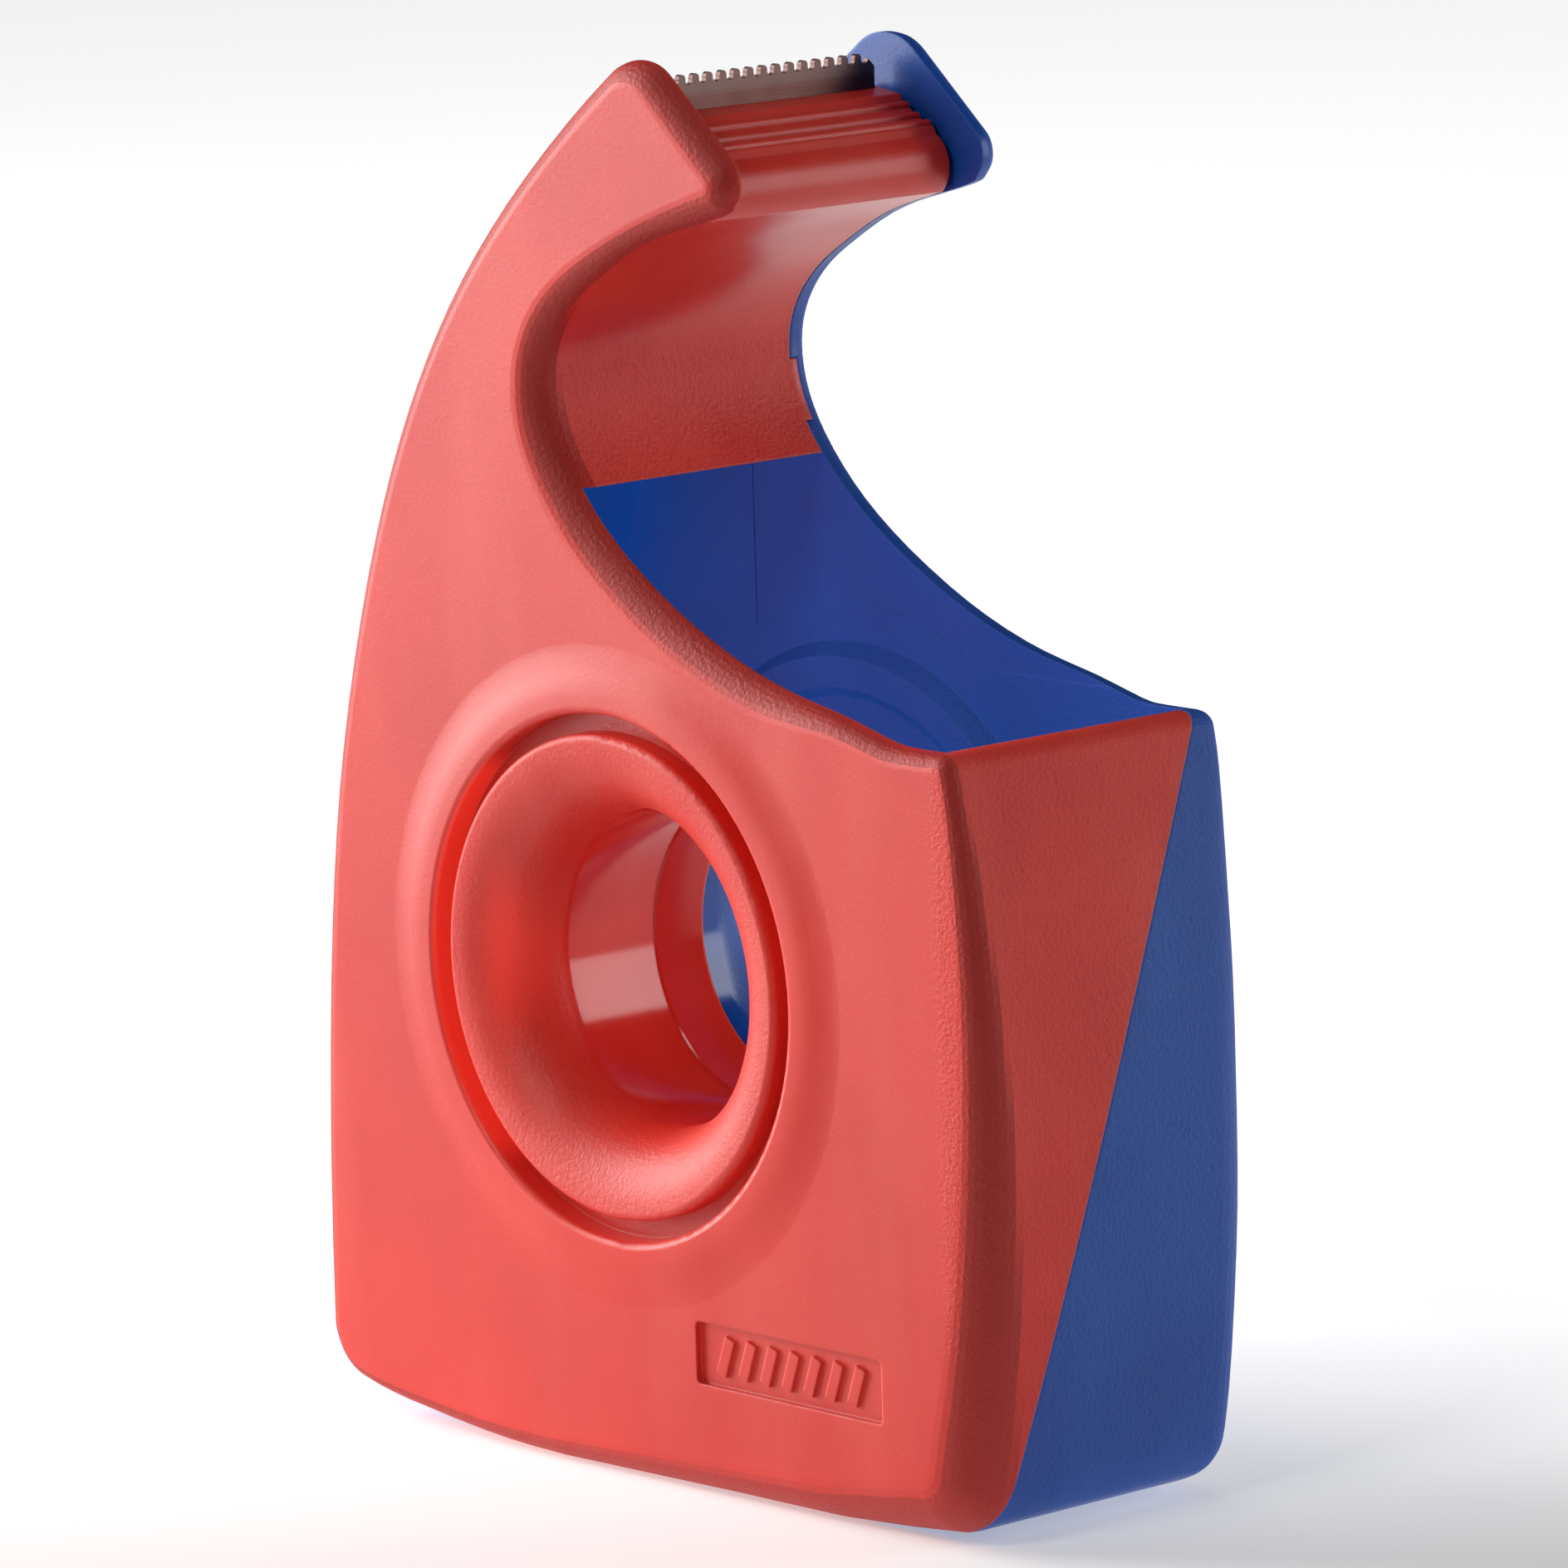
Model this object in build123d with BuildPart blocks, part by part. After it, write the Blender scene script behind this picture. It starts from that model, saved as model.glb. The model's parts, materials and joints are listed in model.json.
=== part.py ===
from build123d import *
from math import acos, atan2, cos, degrees, hypot, radians, sin, sqrt
import os

# Hand-held tape dispenser: a red and a blue half shell that push together along Y, and a toothed
# steel cutter let into the red tape rest.
# Millimetres. +X points to the front wall, Y runs across the tape, +Z is up. The origin is at the
# bottom centre. Side profiles are drawn from the hub axis: local x forwards, local y upwards.

# ---- driving dimensions ----
half_width = 13.3  # mid plane to a side face
plate_wall = 1.8  # thickness of the side plates
rim_wall = 1.8  # thickness of the walls round the edge
half_inside = half_width - plate_wall
seam_gap = 0.12
hub_x = -2.565
hub_z = 36.9

# The rounding along each stretch of the outline, clockwise from the heel: how many points carry
# the stretch, 2 if it is straight, then evenly spaced radii. The front edge softens downwards.
deepest_round = 4.4
round_steps = 10
red_rounding = (
    (9, 1.4, 1.5, 1.7),  # spine
    (4, 1.7, 1.9, 2.1),  # top of the tip
    (2, 2.1, 2.2),  # slope
    (6, 2.2, 2.1),  # end of the tip
    (17, 2.1, 1.5, 1.9, 2.8, 3.1, 3.1, 2.5, 1.4, 1.2),  # throat
    (2, 1.2, 1.1),  # lip
    (5, 1.1, 1.0, 1.1),  # top of the front wall
    (7, 1.1, 1.9, 2.9, 3.7, deepest_round),  # front wall
    (6, deepest_round, deepest_round, 4.3),  # foot
    (4, 4.3, 3.9, 3.3),  # toe
    (2, 3.3, 2.0),  # flat underside
    (4, 2.0, 1.3),  # back of the underside
    (5, 1.3, 1.4),  # heel
)
blue_rounding = (
    (9, 1.4, 1.4, 1.3),  # spine
    (4, 1.3, 1.2, 1.2),  # top of the tip
    (2, 1.2, 1.2),  # slope
    (6, 1.2, 1.2),  # end of the tip
    (17, 1.2, 1.0, 1.0, 1.0, 1.0, 1.0, 1.0, 1.2, 1.4),  # throat
    (2, 1.4, 1.4),  # lip
    (5, 1.4, 1.4, 1.5),  # top of the front wall
    (7, 1.5, 3.2, 3.8, 3.5, 2.8),  # front wall
    (6, 2.8, 2.5, 2.6),  # foot
    (4, 2.6, 2.7, 2.8),  # toe
    (2, 2.8, 2.0),  # flat underside
    (4, 2.0, 1.3),  # back of the underside
    (5, 1.3, 1.4),  # heel
)
swell = 0.6  # how far the soft ring round the groove stands out
swell_r = 24.2
groove_r = 19.2
rim_r = 17.7
groove_floor = half_width - 1.5
ridge_top = 10.1  # mid plane to the crest of the ring ridge inside
hub_r = 12.6  # takes a roll with a 26 mm core
blue_hub_r = 12.2  # a little slimmer, so the core seats on the red tube
red_bore_r = 11.56
blue_bore_r = 11.85
spigot_r = 11.77
shoulder_y = 1.5
spigot_end_y = 5.0
spigot_mouth_r = 10.7
flare_start = 7.4  # mid plane to where a bore begins to open
flare_back = 8.0
lip_round = 0.5

tip_top_centre = (4.6, 61.6)
tip_top_r = 4.6
tip_end_centre = (12.2, 57.9)
tip_end_r = 2.35

rest_corner = (10.8, 55.0)
rest_nose_top = (10.45, 59.15)
rest_end_y = 11.0
horn_top = (-4.0, 58.0)
seam_low_y = -9.9

blade_thick = 0.45
blade_x = 4.1  # its back face
blade_foot = 60.0
blade_top = 64.8
tooth_pitch = 1.3
tooth_height = 0.75
blade_low_y = -11.3
blade_high_y = 10.5

badge_centre = (17.7, -26.3)
badge_length = 19.6
badge_height = 4.6
badge_depth = 0.5

side = Plane(origin=(hub_x, 0, hub_z), x_dir=(1, 0, 0), z_dir=(0, -1, 0))
# Local x runs across the tape. The two seam planes lie half the seam's gap to either side.
red_seam = Plane(origin=(hub_x, -seam_gap / 2, hub_z), x_dir=(0, 1, 0), z_dir=(1, 0, 0))
blue_seam = Plane(origin=(hub_x, seam_gap / 2, hub_z), x_dir=(0, 1, 0), z_dir=(1, 0, 0))
# Local x is the radius from the hub axis and local y the distance from the mid plane.
red_turning = Plane(origin=(hub_x, 0, hub_z), x_dir=(1, 0, 0), z_dir=(0, 0, -1))
blue_turning = Plane(origin=(hub_x, 0, hub_z), x_dir=(1, 0, 0), z_dir=(0, 0, 1))
hub_axis = Axis((hub_x, 0, hub_z), (0, 1, 0))


def ring_point(centre, radius, angle):
    """The point of a circle at an angle in degrees."""
    return (
        centre[0] + radius * cos(radians(angle)),
        centre[1] + radius * sin(radians(angle)),
    )


# ---- side profile of the whole body ----
# The straight slope at the tip touches both of its round ends.
step_x = tip_end_centre[0] - tip_top_centre[0]
step_z = tip_end_centre[1] - tip_top_centre[1]
slope_angle = degrees(
    atan2(step_z, step_x) + acos((tip_top_r - tip_end_r) / hypot(step_x, step_z))
)
spine_angle = 126.0
throat_angle = -72.0
spine_top = ring_point(tip_top_centre, tip_top_r, spine_angle)
slope_start = ring_point(tip_top_centre, tip_top_r, slope_angle)
slope_end = ring_point(tip_end_centre, tip_end_r, slope_angle)
throat_start = ring_point(tip_end_centre, tip_end_r, throat_angle)

heel_r = 4.6
heel_centre = (-29.1, -29.9)
heel_end = ring_point(heel_centre, heel_r, 254)
flat_front = (20.0, -hub_z)
flat_back = (-8.0, -hub_z)
front_foot = (35.5, -36.0)
front_middle = (38.8, -5.0)
front_top = (35.7, 19.8)
throat_end = (33.5, 19.8)
front_top_r = 1.5
front_foot_r = 5.2

with BuildSketch(side) as outline:
    with BuildLine():
        spine = Spline(
            (heel_centre[0] - heel_r, heel_centre[1]),
            (-32.9, -6.2),
            (-30.5, 12.8),
            (-26.3, 28.1),
            (-19.4, 43.3),
            (-10.35, 54.75),
            spine_top,
            tangents=((0, 1), (sin(radians(spine_angle)), -cos(radians(spine_angle)))),
        )
        CenterArc(tip_top_centre, tip_top_r, spine_angle, slope_angle - spine_angle)
        Line(slope_start, slope_end)
        CenterArc(tip_end_centre, tip_end_r, slope_angle, throat_angle - slope_angle)
        throat = Spline(
            throat_start,
            (5.1, 53.4),
            (-0.8, 50.3),
            (-5.0, 46.8),
            (-6.55, 42.4),
            (-4.9, 37.3),
            (0.4, 31.4),
            (7.5, 26.8),
            (19.0, 22.3),
            (27.0, 20.55),
            throat_end,
            tangents=((sin(radians(throat_angle)), -cos(radians(throat_angle))), (1, 0)),
        )
        Line(throat_end, front_top)
        front = ThreePointArc(front_top, front_middle, front_foot)
        toe = ThreePointArc(front_foot, (27.5, -36.65), flat_front)
        Line(flat_front, flat_back)
        ThreePointArc(flat_back, (-20.0, -36.1), heel_end)
        CenterArc(heel_centre, heel_r, 254, -74)
    make_face()
    fillet(outline.vertices().sort_by_distance(front_top)[0], front_top_r)
    fillet(outline.vertices().sort_by_distance(front_foot)[0], front_foot_r)

# ---- inside profile: between the side plates the tip is cut back to the tape rest ----
with BuildSketch(side) as tip_notch:
    with BuildLine():
        Polyline(
            rest_nose_top,
            (10.1, 59.75),
            (8.6, 60.3),
            (7.0, 61.35),
            (6.6, 61.9),
            (3.4, 62.4),
            (-4.6, 60.0),
            (-8.0, 70.0),
            (18.0, 70.0),
            (16.0, 54.0),
            rest_corner,
        )
        ThreePointArc(rest_corner, (11.7, 57.0), rest_nose_top)
    make_face()


def inside(edge, place, amount=rim_wall):
    """The point a wall's thickness in from the outline, which runs clockwise."""
    spot = edge @ place
    along = edge % place
    return (spot.X + along.Y * amount, spot.Y - along.X * amount)


# The space between the side plates: horn, roll space, and the mouth that opens them to the front.
# The saddle's lower end is cut level, so its inner face stops a little sooner.
saddle_end = 0.45
saddle_inner_end = 0.43
with BuildSketch(side) as space:
    with BuildLine():
        Spline(*[inside(spine, step / 6) for step in range(6)], horn_top)
        Polyline(horn_top, (3.3, 60.4), (5.8, 60.0), (9.3, 57.6), inside(throat, 0.05))
        Spline(*[inside(throat, 0.05 + (saddle_inner_end - 0.05) * step / 5) for step in range(6)])
        Polyline(
            inside(throat, saddle_inner_end),
            inside(throat, saddle_end, 0),
            inside(throat, saddle_end, -4.0),
            (12.0, 44.0),
            (33.4, 30.0),
            inside(front, 0),
        )
        ThreePointArc(inside(front, 0), inside(front, 0.5), inside(front, 0.95))
        Line(inside(front, 0.95), inside(toe, 0.15))
        ThreePointArc(inside(toe, 0.15), inside(toe, 0.5), inside(toe, 1))
        Line(inside(toe, 1), (flat_back[0], flat_back[1] + rim_wall))
        ThreePointArc(
            (flat_back[0], flat_back[1] + rim_wall),
            (-19.7, -34.3),
            ring_point(heel_centre, heel_r - rim_wall, 254),
        )
        CenterArc(heel_centre, heel_r - rim_wall, 254, -74)
    make_face()

# ---- seam: red lies below this line in Y, blue above it ----
with BuildSketch(red_seam) as red_zone:
    with BuildLine():
        ThreePointArc((seam_low_y, -37.5), (1.0, -0.4), (10.6, 19.2))
        Polyline(
            (10.6, 19.2),
            (half_inside, 20.6),
            (half_inside, 72.0),
            (-20.0, 72.0),
            (-20.0, -37.5),
            (seam_low_y, -37.5),
        )
    make_face()

# ---- outer form shared by both halves ----
# The outline's edges come counter-clockwise, so they are turned round and read backwards, from
# the one that starts at the heel.
loop = list(reversed(outline.sketch_local.faces()[0].outer_wire().edges()))
heel_start = Vector(heel_centre[0] - heel_r, heel_centre[1])
first = min(range(len(loop)), key=lambda place: (loop[place] @ 1 - heel_start).length)
stretches = loop[first:] + loop[:first]


def rounded_spot(rounding, index, share, depth):
    """A point of the rounded edge on one stretch, at a depth below the side face."""
    count, *radii = rounding[index]
    place = share * (len(radii) - 1)
    before = min(int(place), len(radii) - 2)
    radius = radii[before] + (radii[before + 1] - radii[before]) * (place - before)
    rise = max(radius - depth, 0)
    inset = radius - sqrt(radius**2 - rise**2)
    spot = stretches[index] @ (1 - share)
    along = stretches[index] % (1 - share)
    return (spot.X - along.Y * inset, spot.Y + along.X * inset)


def rounded_ring(rounding, depth):
    """The body's section at a depth below a side face. Its curves stay separate, so that the
    rings join up stretch by stretch."""
    curves = []
    for index in range(len(stretches)):
        following = (index + 1) % len(stretches)
        gaps = rounding[index][0] - 1
        spots = [rounded_spot(rounding, index, step / gaps, depth) for step in range(gaps)]
        spots.append(rounded_spot(rounding, following, 0, depth))
        start = stretches[index] % 1
        end = stretches[following] % 1
        heading = ((-start.X, -start.Y), (-end.X, -end.Y))
        if len(spots) == 2:
            curves.append(Line(*spots, mode=Mode.PRIVATE))
        else:
            curves.append(Spline(*spots, tangents=heading, mode=Mode.PRIVATE))
    return Face(Wire(curves))


depths = [deepest_round * (step / round_steps) ** 2 for step in range(round_steps + 1)]
red_rings = [
    side.offset(half_width - depth) * rounded_ring(red_rounding, depth) for depth in depths
]
blue_rings = [
    side.offset(depth - half_width) * rounded_ring(blue_rounding, depth) for depth in depths
]
with BuildPart() as form:
    loft(sections=red_rings, ruled=True)
    extrude(red_rings[-1], amount=half_width - deepest_round, dir=(0, 1, 0))
    extrude(blue_rings[-1], amount=half_width - deepest_round, dir=(0, -1, 0))
    loft(sections=blue_rings, ruled=True)
    extrude(tip_notch.sketch, amount=half_inside, both=True, mode=Mode.SUBTRACT)
    extrude(space.sketch, amount=half_inside, both=True, mode=Mode.SUBTRACT)
    with BuildSketch(side):
        Circle(swell_r)
    extrude(amount=half_width + 1, both=True, mode=Mode.SUBTRACT)


def turned_half(plane, bore, outside, tube):
    """One half's hub tube, funnel, groove and soft swelling, turned about the hub axis. tube holds
    the corners of the tube's inner end, from the bore to the outside."""
    lip_x = rim_r - lip_round
    lip_y = half_width - 0.1
    crest_y = half_width + swell
    with BuildPart() as turned:
        with BuildSketch(plane):
            with BuildLine():
                Spline(
                    (swell_r, half_width),
                    (groove_r + 2.2, half_width + 0.8 * swell),
                    (groove_r + lip_round, crest_y),
                    tangents=((-1, 0), (-1, 0)),
                )
                CenterArc((groove_r + lip_round, crest_y - lip_round), lip_round, 90, 90)
                Polyline(
                    (groove_r, crest_y - lip_round),
                    (groove_r, groove_floor),
                    (rim_r, groove_floor),
                    (rim_r, lip_y),
                )
                CenterArc((lip_x, lip_y), lip_round, 0, 90)
                EllipticalCenterArc(
                    (lip_x, flare_start),
                    lip_x - bore,
                    lip_y + lip_round - flare_start,
                    start_angle=90,
                    arc_size=90,
                )
                Polyline((bore, flare_start), *tube, (outside, flare_back))
                ThreePointArc((outside, flare_back), (13.7, 9.9), (16.2, 10.6))
                Polyline(
                    (16.2, 10.6),
                    (17.3, 10.6),
                    (18.0, ridge_top),
                    (20.3, ridge_top),
                    (21.3, half_inside),
                    (swell_r, half_inside),
                    (swell_r, half_width),
                )
            make_face()
        revolve(axis=hub_axis)
    return turned.part


red_turned = turned_half(
    red_turning,
    red_bore_r,
    hub_r,
    (
        (red_bore_r, -0.9),
        (red_bore_r - 0.16, -1.05),
        (spigot_mouth_r, -spigot_end_y),
        (spigot_r - 0.1, -spigot_end_y),
        (spigot_r, -shoulder_y),
        (hub_r, -shoulder_y),
    ),
)
blue_mouth_y = shoulder_y + 0.8
blue_turned = turned_half(
    blue_turning,
    blue_bore_r,
    blue_hub_r,
    (
        (blue_bore_r, blue_mouth_y),
        (blue_hub_r, blue_mouth_y),
    ),
)

# ---- snap tab: the red saddle's lower end reaches into the edge of the blue plate ----
snap_end_y = 12.1
snap_slack = 0.12
snap_low = 37.2
snap_high = 41.6
with BuildSketch(side) as snap_side:
    Polygon((-9.0, snap_low), (-1.0, snap_low), (-1.0, snap_high), (-9.0, snap_high), align=None)
with BuildSketch(side) as snap_room:
    add(snap_side.sketch_local)
    offset(amount=snap_slack)
with BuildPart() as snap_tab:
    add(form.part)
    extrude(space.sketch, amount=half_width, both=True, mode=Mode.SUBTRACT)
    with BuildSketch(side.offset(-rest_end_y)):
        add(snap_side.sketch_local)
    extrude(amount=rest_end_y - snap_end_y, mode=Mode.INTERSECT)

# ---- back wall: below the saddle the blue half reaches further round the back ----
back_seam_y = 5.6
back_top = 37.4
with BuildSketch(side.offset(-back_seam_y - seam_gap / 2)) as blue_back_side:
    Polygon((-45, -45), (-11, -45), (-11, back_top), (-45, back_top), align=None)
with BuildSketch(side.offset(-back_seam_y + seam_gap / 2)) as red_back_side:
    add(blue_back_side.sketch_local)
    offset(amount=seam_gap)
with BuildPart() as blue_back:
    add(form.part)
    extrude(blue_back_side.sketch, amount=-20, mode=Mode.INTERSECT)

# ---- red half shell ----
blade_slack = 0.02
blade_pocket = (
    blade_thick + 2 * blade_slack,
    blade_high_y - blade_low_y + 2 * blade_slack,
)
pocket_floor = Plane(
    (
        hub_x + blade_x + blade_thick / 2,
        (blade_low_y + blade_high_y) / 2,
        hub_z + blade_foot - blade_slack,
    )
)
with BuildPart() as red_half_shell:
    add(form.part)
    # Everything on the red side of the seam stays.
    extrude(red_zone.sketch, amount=60, both=True, mode=Mode.INTERSECT)
    extrude(red_back_side.sketch, amount=-20, mode=Mode.SUBTRACT)
    add(red_turned)
    add(snap_tab.part)
    # The tape rest stops short of the blue plate.
    with BuildSketch(Plane((hub_x, (rest_end_y + half_inside) / 2, hub_z + 63))):
        Rectangle(60, half_inside - rest_end_y)
    extrude(amount=8.2, both=True, mode=Mode.SUBTRACT)
    # A thick bar under the rest holds the cutter.
    with BuildSketch(side.offset(-rest_end_y)):
        Polygon((2.2, 62.0), (7.0, 61.2), (8.2, 58.6), (2.2, 58.6), align=None)
    extrude(amount=rest_end_y + half_inside)
    # Three ribs keep the tape's end from sticking flat to the rest.
    with BuildSketch(side.offset(-rest_end_y)):
        with Locations((7.35, 61.1), (8.45, 60.38), (9.6, 59.92)):
            Circle(0.3)
    extrude(amount=rest_end_y + half_inside)
    with BuildSketch(pocket_floor):
        Rectangle(*blade_pocket)
    extrude(amount=6, mode=Mode.SUBTRACT)
    # Recessed badge with a row of slanted raised bars.
    with BuildSketch(side.offset(half_width)):
        with Locations(badge_centre):
            RectangleRounded(badge_length, badge_height, 0.4)
    extrude(amount=-badge_depth, mode=Mode.SUBTRACT)
    with BuildSketch(side.offset(half_width - badge_depth)):
        for bar in range(7):
            with Locations((badge_centre[0] + (bar - 3) * 2.3, badge_centre[1])):
                Rectangle(1.0, 2.9, rotation=-20)
    extrude(amount=0.3)

# ---- blue half shell ----
with BuildPart() as blue_half_shell:
    add(form.part)
    with BuildSketch(blue_seam):
        add(red_zone.sketch_local)
    extrude(amount=60, both=True, mode=Mode.SUBTRACT)
    extrude(snap_room.sketch, amount=-snap_end_y - snap_slack, mode=Mode.SUBTRACT)
    add(blue_back.part)
    add(blue_turned)

# ---- cutter: a strip with a wavy edge ----
tooth_count = int((blade_high_y - blade_low_y - 1.2) / tooth_pitch)
tooth_start = blade_high_y - 0.6 - tooth_count * tooth_pitch
tooth_middle = blade_top - tooth_height / 2
blade_plane = Plane(origin=(hub_x + blade_x, 0, hub_z), x_dir=(0, 1, 0), z_dir=(1, 0, 0))
with BuildPart() as cutter_blade:
    with BuildSketch(blade_plane):
        with BuildLine():
            for tooth in range(tooth_count):
                low = tooth_start + tooth * tooth_pitch
                ThreePointArc(
                    (low, tooth_middle),
                    (low + tooth_pitch / 4, blade_top),
                    (low + tooth_pitch / 2, tooth_middle),
                )
                ThreePointArc(
                    (low + tooth_pitch / 2, tooth_middle),
                    (low + 3 * tooth_pitch / 4, blade_top - tooth_height),
                    (low + tooth_pitch, tooth_middle),
                )
            Polyline(
                (tooth_start + tooth_count * tooth_pitch, tooth_middle),
                (blade_high_y, tooth_middle - 0.6),
                (blade_high_y, blade_foot),
                (blade_low_y, blade_foot),
                (blade_low_y, tooth_middle),
                (tooth_start, tooth_middle),
            )
        make_face()
    extrude(amount=blade_thick)

os.makedirs("parts", exist_ok=True)
red_half_shell.part.label = "red_half_shell"
blue_half_shell.part.label = "blue_half_shell"
cutter_blade.part.label = "cutter_blade"
for piece in (red_half_shell, blue_half_shell, cutter_blade):
    export_step(piece.part, f"parts/{piece.part.label}.step")
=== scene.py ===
import json
import math

import bpy
from mathutils import Matrix, Vector


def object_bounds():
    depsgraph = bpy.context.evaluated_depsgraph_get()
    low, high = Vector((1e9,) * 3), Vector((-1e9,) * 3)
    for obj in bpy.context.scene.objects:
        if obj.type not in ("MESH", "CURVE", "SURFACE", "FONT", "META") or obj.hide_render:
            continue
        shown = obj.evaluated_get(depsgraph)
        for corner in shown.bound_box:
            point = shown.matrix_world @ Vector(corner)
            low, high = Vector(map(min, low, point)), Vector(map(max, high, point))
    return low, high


# The dispenser on a plain pale floor, seen as the photograph sees it. Metres.

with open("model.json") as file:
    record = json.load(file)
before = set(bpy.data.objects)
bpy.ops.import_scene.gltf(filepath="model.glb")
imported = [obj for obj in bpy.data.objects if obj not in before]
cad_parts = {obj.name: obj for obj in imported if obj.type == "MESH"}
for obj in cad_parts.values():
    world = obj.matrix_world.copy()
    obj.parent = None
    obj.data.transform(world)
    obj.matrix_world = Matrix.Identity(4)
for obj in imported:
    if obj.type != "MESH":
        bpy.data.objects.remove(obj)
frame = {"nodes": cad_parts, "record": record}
cad_low, cad_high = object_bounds()

HUB = Vector(frame["record"]["mounts"][0]["pos_m"])
HUB.y = 0.0

# ---- camera: a long lens, at the photograph's azimuth, elevation and slight roll ----
AZIMUTH = math.radians(48.08)
ELEVATION = math.radians(9.86)
ROLL = math.radians(-1.67)
CAMERA_FROM_HUB = Vector((0.527163, -0.469475, 0.134909))
SENSOR_MM = 36.0
LENS_MM = 227.0
CLIP_START = 0.05
CLIP_END = 20.0

# ---- where things are on the object ----
FRONT_WALL_X = (0.0335, 0.0352)  # from the hub, where the front wall's grain sets in
PLATE_INSIDE = (0.0119, 0.0114)  # from the mid plane, inwards over a plate's inner face
SADDLE_SPLIT_Z = (0.0425, 0.0455)  # above the hub: grained saddle below, polished above
SADDLE_LOW_Z = (0.0, 0.003)
SADDLE_TOP_Z = (0.0575, 0.0555)
FUNNEL_R = (0.0192, 0.0176)
FUNNEL_Y = (0.0075, 0.009)
BORE_Y = (0.0085, 0.0072)
BORE_BLEND = 0.0006
RIM_OUTSIDE_R = (0.0235, 0.0250)
# the next two bound the painted glow on the inner faces
INNER_TOP_Z = (0.050, 0.042)
BACK_WALL_X = (-0.011, -0.014)
TEETH_Z = (0.0630, 0.0637)

# ---- colours ----
RED = (0.74, 0.034, 0.020, 1.0)
RED_DEEP = (0.62, 0.022, 0.012, 1.0)
RED_WORN = (0.90, 0.16, 0.11, 1.0)
# painted shade: the deeper colour laid on the red half's rounded rims
RED_RIM_SHADE = (0.40, 0.016, 0.008, 1.0)
RED_GLOW = (1.0, 0.3, 0.2)
RED_BORE_R = 0.0117
BLUE = (0.006, 0.082, 0.41, 1.0)
BLUE_DEEP = (0.004, 0.060, 0.33, 1.0)
BLUE_WORN = (0.04, 0.15, 0.55, 1.0)
# painted shade: the colour laid on the blue half's rounded rims
BLUE_RIM_SHADE = (0.012, 0.075, 0.40, 1.0)
BLUE_GLOW = (0.2, 0.4, 1.0)
BLUE_BORE_R = 0.0119
# the steel colours are tinted red-brown: a painted reflection of the red shell on the blade
STEEL_DARK = (0.10, 0.045, 0.040, 1.0)
STEEL_LIGHT = (0.17, 0.085, 0.075, 1.0)
STEEL_STAIN = (0.09, 0.03, 0.025, 1.0)
STEEL_GROUND = (0.20, 0.135, 0.125, 1.0)
FLOOR_DARK = (0.80, 0.80, 0.80, 1.0)
FLOOR_LIGHT = (0.84, 0.84, 0.84, 1.0)
WHITE = (1.0, 1.0, 1.0, 1.0)
ROOM = (0.97, 0.98, 1.0, 1.0)

# ---- plastic ----
EDGE_R = 0.00022  # how far the moulded edges are broken
GRAIN_SIZE = 0.00034
FINE_SIZE = 0.00011
SMOOTH_ROUGHNESS = 0.38
GRAINED_ROUGHNESS = 0.60
POLISHED_ROUGHNESS = 0.13
EDGE_ROUGHNESS = 0.26
GRAIN_DEPTH = 0.00016
FINE_DEPTH = 0.00003

FLOOR_SIZE = 6.0
FLOOR_GAP = 0.0002


def camera_axes():
    """Right, up and back of the camera in the row frame."""
    back = Vector((
        math.sin(AZIMUTH) * math.cos(ELEVATION),
        -math.cos(AZIMUTH) * math.cos(ELEVATION),
        math.sin(ELEVATION),
    ))
    right = Vector((math.cos(AZIMUTH), math.sin(AZIMUTH), 0.0))
    up = back.cross(right)
    turned_right = math.cos(ROLL) * right + math.sin(ROLL) * up
    turned_up = -math.sin(ROLL) * right + math.cos(ROLL) * up
    return turned_right, turned_up, back


def add_camera():
    data = bpy.data.cameras.new("camera")
    data.sensor_width = SENSOR_MM
    data.lens = LENS_MM
    data.clip_start = CLIP_START
    data.clip_end = CLIP_END
    camera = bpy.data.objects.new("camera", data)
    bpy.context.scene.collection.objects.link(camera)
    right, up, back = camera_axes()
    place = Matrix((right, up, back)).transposed().to_4x4()
    place.translation = HUB + CAMERA_FROM_HUB
    camera.matrix_world = place
    bpy.context.scene.camera = camera


add_camera()


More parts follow.
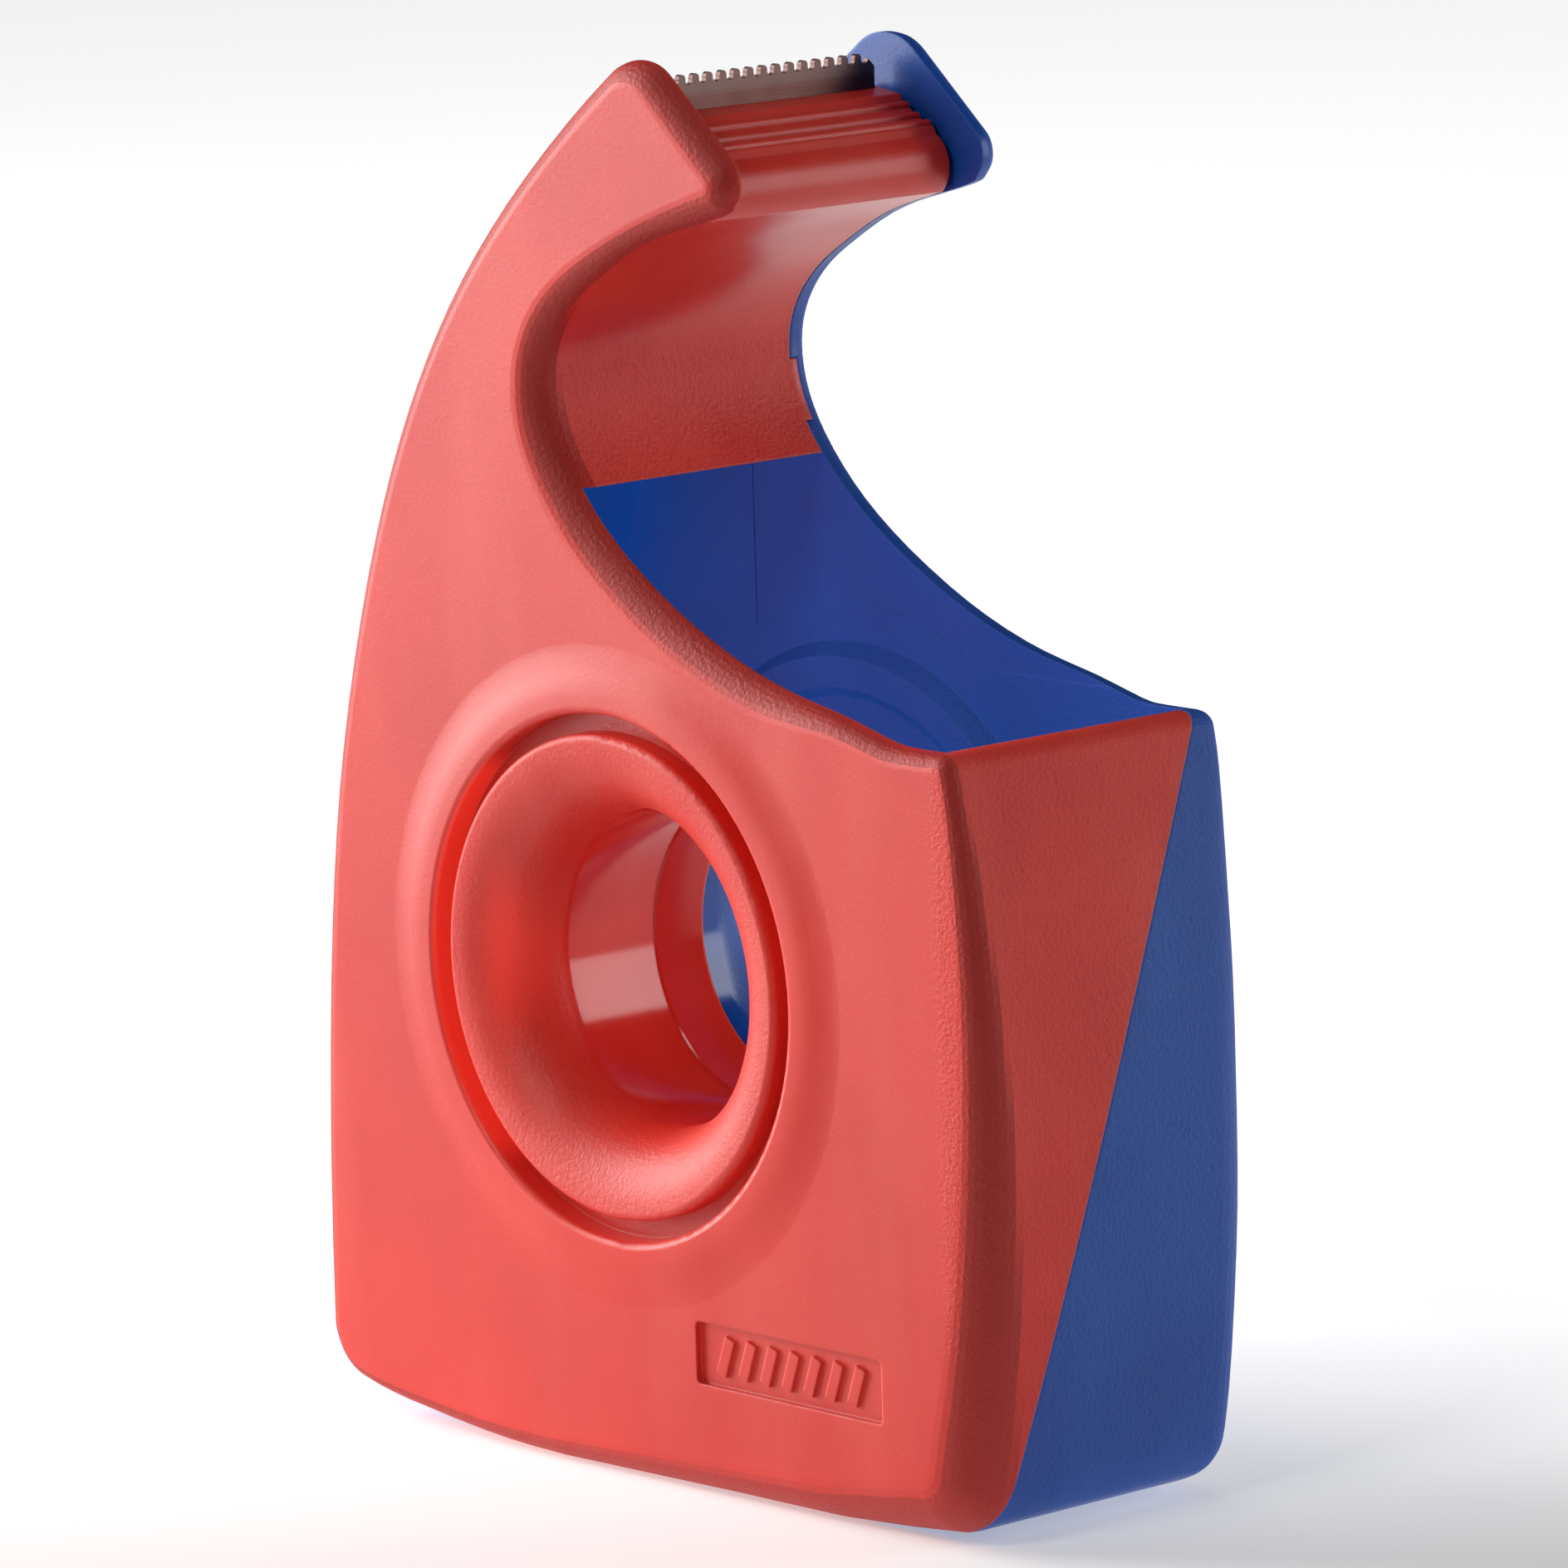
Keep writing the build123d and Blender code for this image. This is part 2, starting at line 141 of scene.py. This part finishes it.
# ---- small helpers for node materials ----
class Shader:
    """One material and its node tree, with the node's own place as texture space, in metres."""

    def __init__(self, name):
        self.material = bpy.data.materials.new(name)
        self.material.use_nodes = True
        self.tree = self.material.node_tree
        self.surface = self.tree.nodes["Principled BSDF"]
        texture_space = self.tree.nodes.new("ShaderNodeTexCoord")
        self.place = texture_space.outputs["Object"]
        self.facing = texture_space.outputs["Normal"]

    def join(self, source, socket):
        """A link from another node's socket, or a plain value."""
        if isinstance(source, bpy.types.NodeSocket):
            self.tree.links.new(source, socket)
        else:
            socket.default_value = source

    def colour(self, source):
        self.join(source, self.surface.inputs["Base Color"])

    def rough(self, source):
        self.join(source, self.surface.inputs["Roughness"])

    def math(self, kind, first, second):
        node = self.tree.nodes.new("ShaderNodeMath")
        node.operation = kind
        self.join(first, node.inputs[0])
        self.join(second, node.inputs[1])
        return node.outputs[0]

    def add(self, first, second):
        return self.math("ADD", first, second)

    def less(self, first, second):
        return self.math("SUBTRACT", first, second)

    def most(self, first, second):
        return self.math("MAXIMUM", first, second)

    def size_of(self, value):
        return self.math("ABSOLUTE", value, 0.0)

    def times(self, first, *others):
        for other in others:
            first = self.math("MULTIPLY", first, other)
        return first

    def split(self, vector):
        node = self.tree.nodes.new("ShaderNodeSeparateXYZ")
        self.join(vector, node.inputs[0])
        return node.outputs[0], node.outputs[1], node.outputs[2]

    def ramp(self, value, low, high, start=0.0, end=1.0):
        """Value carried smoothly from low..high to start..end."""
        node = self.tree.nodes.new("ShaderNodeMapRange")
        node.interpolation_type = "SMOOTHSTEP"
        self.join(value, node.inputs["Value"])
        node.inputs["From Min"].default_value = low
        node.inputs["From Max"].default_value = high
        node.inputs["To Min"].default_value = start
        node.inputs["To Max"].default_value = end
        return node.outputs["Result"]

    def noise(self, size, detail, rough, stretch=(1.0, 1.0, 1.0)):
        """Noise whose patches are about size metres across, stretched along the axes."""
        scale = self.tree.nodes.new("ShaderNodeMapping")
        scale.inputs["Scale"].default_value = [1.0 / (size * s) for s in stretch]
        self.join(self.place, scale.inputs["Vector"])
        node = self.tree.nodes.new("ShaderNodeTexNoise")
        node.inputs["Scale"].default_value = 1.0
        node.inputs["Detail"].default_value = detail
        node.inputs["Roughness"].default_value = rough
        self.join(scale.outputs["Vector"], node.inputs["Vector"])
        return node.outputs["Fac"]

    def mix(self, kind, share, first, second):
        node = self.tree.nodes.new("ShaderNodeMix")
        node.data_type = kind
        self.join(share, node.inputs["Factor"])
        self.join(first, node.inputs["A"])
        self.join(second, node.inputs["B"])
        return node.outputs["Result"]

    def blend(self, share, first, second):
        """From one colour to another."""
        return self.mix("RGBA", share, first, second)

    def between(self, share, first, second):
        """From one number to another."""
        return self.mix("FLOAT", share, first, second)

    def bump(self, height, distance, strength, normal=None):
        node = self.tree.nodes.new("ShaderNodeBump")
        self.join(height, node.inputs["Height"])
        node.inputs["Distance"].default_value = distance
        self.join(strength, node.inputs["Strength"])
        if normal is not None:
            self.join(normal, node.inputs["Normal"])
        return node.outputs["Normal"]

    def soft_edges(self, radius):
        """The normal with every edge broken by that radius, and how near an edge the point is."""
        node = self.tree.nodes.new("ShaderNodeBevel")
        node.samples = 4
        node.inputs["Radius"].default_value = radius
        geometry = self.tree.nodes.new("ShaderNodeNewGeometry")
        dot = self.tree.nodes.new("ShaderNodeVectorMath")
        dot.operation = "DOT_PRODUCT"
        self.join(node.outputs[0], dot.inputs[0])
        self.join(geometry.outputs["Normal"], dot.inputs[1])
        return node.outputs[0], self.ramp(dot.outputs["Value"], 0.995, 0.8)


def moulded_plastic(name, colour, deep, worn, rim_shade_colour, bore_r, inward, glow):
    """Satin moulded plastic: fine grain on the front wall and the saddle, smoother side faces, a
    polished bore, slow changes of colour and burnished edges, with painted shade on the rounded
    rims and a painted glow on the inner faces."""
    s = Shader(name)
    x, y, z = s.split(s.place)
    from_hub_x = s.less(x, HUB.x)
    from_hub_z = s.less(z, HUB.z)
    squares = s.add(s.math("POWER", from_hub_x, 2.0), s.math("POWER", from_hub_z, 2.0))
    radius = s.math("SQRT", squares, 0.0)
    across = s.size_of(y)
    between_plates = s.ramp(across, *PLATE_INSIDE)

    # where the mould is grained: the front wall, the lower saddle and, lightly, the funnel
    front = s.ramp(from_hub_x, *FRONT_WALL_X)
    saddle = s.times(
        between_plates,
        s.ramp(from_hub_z, *reversed(SADDLE_SPLIT_Z)),
        s.ramp(from_hub_z, *SADDLE_LOW_Z),
    )
    grained = s.most(front, s.times(saddle, 0.8))
    funnel = s.times(s.ramp(radius, *FUNNEL_R), s.ramp(across, *FUNNEL_Y))
    grained = s.most(grained, s.times(funnel, 0.35))

    # the bore is polished, and the upper saddle a little
    bore = s.times(s.ramp(radius, bore_r + BORE_BLEND, bore_r), s.ramp(across, *BORE_Y))
    upper_saddle = s.times(
        between_plates,
        s.ramp(from_hub_z, *SADDLE_SPLIT_Z),
        s.ramp(from_hub_z, *SADDLE_TOP_Z),
    )
    polished = s.most(bore, s.times(upper_saddle, 0.35))

    normal, edge = s.soft_edges(EDGE_R)
    clouds = s.noise(0.028, 3.0, 0.55)
    flow = s.noise(0.009, 2.0, 0.5, (1.0, 1.0, 4.0))
    grain = s.noise(GRAIN_SIZE, 3.0, 0.62)
    fine = s.noise(FINE_SIZE, 2.0, 0.5)

    tint = s.blend(s.ramp(clouds, 0.3, 0.7), colour, deep)
    tint = s.blend(s.times(s.ramp(flow, 0.4, 0.75), 0.18), tint, worn)
    tint = s.blend(s.times(s.ramp(grain, 0.45, 0.7), grained, 0.30), tint, deep)
    tint = s.blend(s.times(edge, 0.22), tint, worn)
    # the rounded rims outside the hub are grained and matte, and carry painted shade: a deeper
    # colour set by which way the surface faces
    facing_x, facing_y, _ = s.split(s.facing)
    turn = s.size_of(facing_y)
    rim_grain_and_shade = s.times(
        s.ramp(turn, 0.995, 0.93),
        s.ramp(turn, 0.01, 0.14),
        s.ramp(radius, *RIM_OUTSIDE_R),
    )
    s.colour(s.blend(s.times(rim_grain_and_shade, 0.85), tint, rim_shade_colour))
    grained = s.most(grained, s.times(rim_grain_and_shade, 0.7))

    rough = s.between(grained, SMOOTH_ROUGHNESS, GRAINED_ROUGHNESS)
    rough = s.add(rough, s.times(s.less(clouds, 0.5), 0.10))
    rough = s.add(rough, s.times(s.less(fine, 0.5), 0.08))
    rough = s.between(polished, rough, POLISHED_ROUGHNESS)
    s.rough(s.between(s.times(edge, 0.5), rough, EDGE_ROUGHNESS))

    strength = s.between(grained, 0.12, 0.95)
    strength = s.between(polished, strength, 0.02)
    normal = s.bump(grain, GRAIN_DEPTH, strength, normal)
    normal = s.bump(fine, FINE_DEPTH, s.times(strength, 0.5), normal)
    s.join(normal, s.surface.inputs["Normal"])

    # painted light: the inner faces of the plates and of the back wall glow with the plastic's
    # own colour, standing in for light that reaches the cavity; the subsurface below lets a
    # little real light through the thin plates
    inner = s.ramp(s.times(facing_y, inward), 0.3, 0.8)
    back = s.times(s.ramp(facing_x, 0.3, 0.8), s.ramp(from_hub_x, *BACK_WALL_X))
    inner = s.times(s.most(inner, back), s.ramp(from_hub_z, *INNER_TOP_Z))
    painted_inner_glow = s.times(inner, s.ramp(clouds, 0.2, 0.8, 0.35, 0.55))
    s.surface.inputs["Emission Color"].default_value = colour
    s.join(painted_inner_glow, s.surface.inputs["Emission Strength"])
    s.surface.inputs["Subsurface Weight"].default_value = 0.25
    s.surface.inputs["Subsurface Radius"].default_value = glow
    s.surface.inputs["Subsurface Scale"].default_value = 0.003
    s.surface.inputs["IOR"].default_value = 1.49
    s.surface.inputs["Specular IOR Level"].default_value = 0.5
    return s.material


def rolled_steel(name):
    """Thin strip steel: rolling lines along the strip, ground teeth, a few faint stains; all its
    colours carry a red-brown tint that is a painted reflection of the red shell.
    """
    s = Shader(name)
    z = s.split(s.place)[2]
    lines = s.noise(0.0007, 4.0, 0.6, (1.0, 14.0, 0.25))
    stains = s.noise(0.004, 3.0, 0.6)
    ground = s.ramp(s.less(z, HUB.z), *TEETH_Z)
    tint = s.blend(lines, STEEL_DARK, STEEL_LIGHT)
    tint = s.blend(s.times(s.ramp(stains, 0.5, 0.8), 0.35), tint, STEEL_STAIN)
    s.colour(s.blend(s.times(ground, 0.7), tint, STEEL_GROUND))
    s.surface.inputs["Metallic"].default_value = 1.0
    rough = s.add(0.36, s.times(lines, 0.16))
    s.rough(s.between(ground, rough, 0.50))
    s.join(s.bump(lines, 0.00003, 0.35), s.surface.inputs["Normal"])
    return s.material


def pale_floor(name):
    """Pale matte floor that glows softly like a light table, less so ahead of the object."""
    s = Shader(name)
    s.colour(s.blend(s.noise(0.15, 3.0, 0.5), FLOOR_DARK, FLOOR_LIGHT))
    s.surface.inputs["Roughness"].default_value = 0.9
    s.surface.inputs["Specular IOR Level"].default_value = 0.1
    x, y, _ = s.split(s.place)
    ahead = s.less(s.times(x, 0.74), s.times(y, 0.67))
    near = s.ramp(ahead, -0.02, 0.10, 1.0, 0.0)
    far = s.ramp(ahead, -0.9, -0.10, 0.80, 0.52)
    s.surface.inputs["Emission Color"].default_value = WHITE
    s.join(s.times(near, far), s.surface.inputs["Emission Strength"])
    return s.material


def dress(node, material):
    mesh = frame["nodes"][node].data
    mesh.materials.clear()
    mesh.materials.append(material)


# The numbers are the bore's radius and which way along Y the inner faces look.
dress("red_half_shell", moulded_plastic(
    "red_plastic", RED, RED_DEEP, RED_WORN, RED_RIM_SHADE, RED_BORE_R, 1.0, RED_GLOW
))
dress("blue_half_shell", moulded_plastic(
    "blue_plastic", BLUE, BLUE_DEEP, BLUE_WORN, BLUE_RIM_SHADE, BLUE_BORE_R, -1.0, BLUE_GLOW
))
dress("cutter_blade", rolled_steel("steel"))


# ---- floor ----
def add_floor():
    half = FLOOR_SIZE / 2
    corners = [(-half, -half, 0), (half, -half, 0), (half, half, 0), (-half, half, 0)]
    mesh = bpy.data.meshes.new("floor")
    mesh.from_pydata(corners, [], [(0, 1, 2, 3)])
    mesh.materials.append(pale_floor("floor_paint"))
    floor = bpy.data.objects.new("floor", mesh)
    bpy.context.scene.collection.objects.link(floor)
    floor.location.z = cad_low[2] - FLOOR_GAP


add_floor()


# ---- light: a soft box on each side, one in front, one overhead, and a dim pale room ----
def add_soft_box(name, direction, distance, width, height, power):
    data = bpy.data.lights.new(name, "AREA")
    data.shape = "RECTANGLE"
    data.size = width
    data.size_y = height
    data.energy = power
    light = bpy.data.objects.new(name, data)
    bpy.context.scene.collection.objects.link(light)
    aim = Vector(direction).normalized()
    light.location = HUB + distance * aim
    light.rotation_euler = aim.to_track_quat("Z", "Y").to_euler()


add_soft_box("key", (-0.90, -0.44, 0.22), 0.75, 0.50, 0.80, 10.2)
add_soft_box("side", (0.66, 0.75, 0.10), 0.85, 0.36, 0.80, 3.9)
add_soft_box("fill", (0.10, -0.66, 0.55), 0.80, 0.22, 0.22, 1.3)
add_soft_box("overhead", (-0.1, 0.1, 1.0), 0.9, 0.45, 0.45, 0.8)

world = bpy.data.worlds.new("room")
world.use_nodes = True
background = world.node_tree.nodes["Background"]
background.inputs["Color"].default_value = ROOM
background.inputs["Strength"].default_value = 0.04
bpy.context.scene.world = world
bpy.context.scene.view_settings.view_transform = "Standard"
